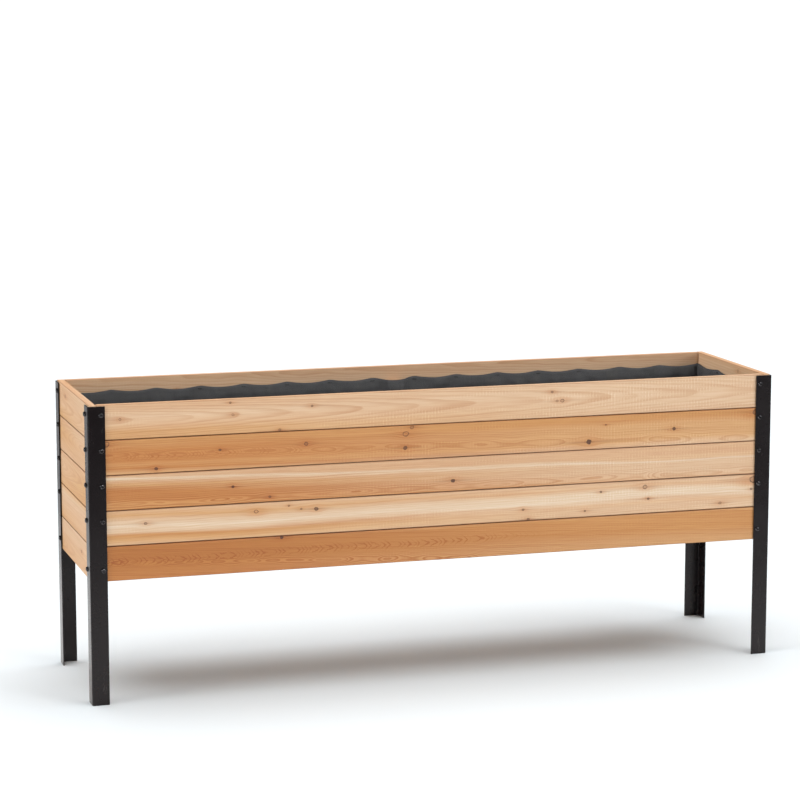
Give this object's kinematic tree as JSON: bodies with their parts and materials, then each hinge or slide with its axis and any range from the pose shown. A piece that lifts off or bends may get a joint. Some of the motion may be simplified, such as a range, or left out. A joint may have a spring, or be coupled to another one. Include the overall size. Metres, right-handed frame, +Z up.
{
  "type": "raised planter on legs",
  "caption": "Long open-topped cedar planter box of stacked horizontal boards on black steel angle legs, with a slatted floor and fabric liner, for growing plants at waist height.",
  "frame": {"origin": "on the ground at the middle of the footprint", "axes": "+X along the length to the right, +Y from front to back, +Z up"},
  "size_m": [1.8376, 0.4686, 0.758],
  "materials": {
    "cedar_wall": "planed, unfinished",
    "cedar_floor": "planed, unfinished",
    "black_powder_coat": "satin powder coat",
    "black_screw": "satin black oxide",
    "liner_fabric": "woven, matte"
  },
  "bodies": {
    "root": {"front_board_1": "cedar_wall", "front_board_2": "cedar_wall", "front_board_3": "cedar_wall", "front_board_4": "cedar_wall", "front_board_5": "cedar_wall", "back_board_1": "cedar_wall", "back_board_2": "cedar_wall", "back_board_3": "cedar_wall", "back_board_4": "cedar_wall", "back_board_5": "cedar_wall", "left_board_1": "cedar_wall", "left_board_2": "cedar_wall", "left_board_3": "cedar_wall", "left_board_4": "cedar_wall", "left_board_5": "cedar_wall", "right_board_1": "cedar_wall", "right_board_2": "cedar_wall", "right_board_3": "cedar_wall", "right_board_4": "cedar_wall", "right_board_5": "cedar_wall", "front_left_leg": "black_powder_coat", "front_right_leg": "black_powder_coat", "back_right_leg": "black_powder_coat", "back_left_leg": "black_powder_coat", "front_left_front_screws": "black_screw", "front_left_side_screws": "black_screw", "front_right_front_screws": "black_screw", "front_right_side_screws": "black_screw", "back_right_back_screws": "black_screw", "back_right_side_screws": "black_screw", "back_left_back_screws": "black_screw", "back_left_side_screws": "black_screw", "front_ledger": "cedar_floor", "back_ledger": "cedar_floor", "left_ledger": "cedar_floor", "right_ledger": "cedar_floor", "floor_slat_1": "cedar_floor", "floor_slat_2": "cedar_floor", "floor_slat_3": "cedar_floor", "floor_slat_4": "cedar_floor", "floor_slat_5": "cedar_floor", "floor_slat_6": "cedar_floor", "floor_slat_7": "cedar_floor", "floor_slat_8": "cedar_floor", "floor_slat_9": "cedar_floor", "floor_slat_10": "cedar_floor", "floor_slat_11": "cedar_floor", "floor_slat_12": "cedar_floor", "floor_slat_13": "cedar_floor", "floor_slat_14": "cedar_floor", "floor_slat_15": "cedar_floor", "floor_slat_16": "cedar_floor", "floor_slat_17": "cedar_floor", "floor_slat_18": "cedar_floor", "front_batten": "cedar_floor", "back_batten": "cedar_floor", "fabric_liner": "liner_fabric"}
  },
  "joints": []
}
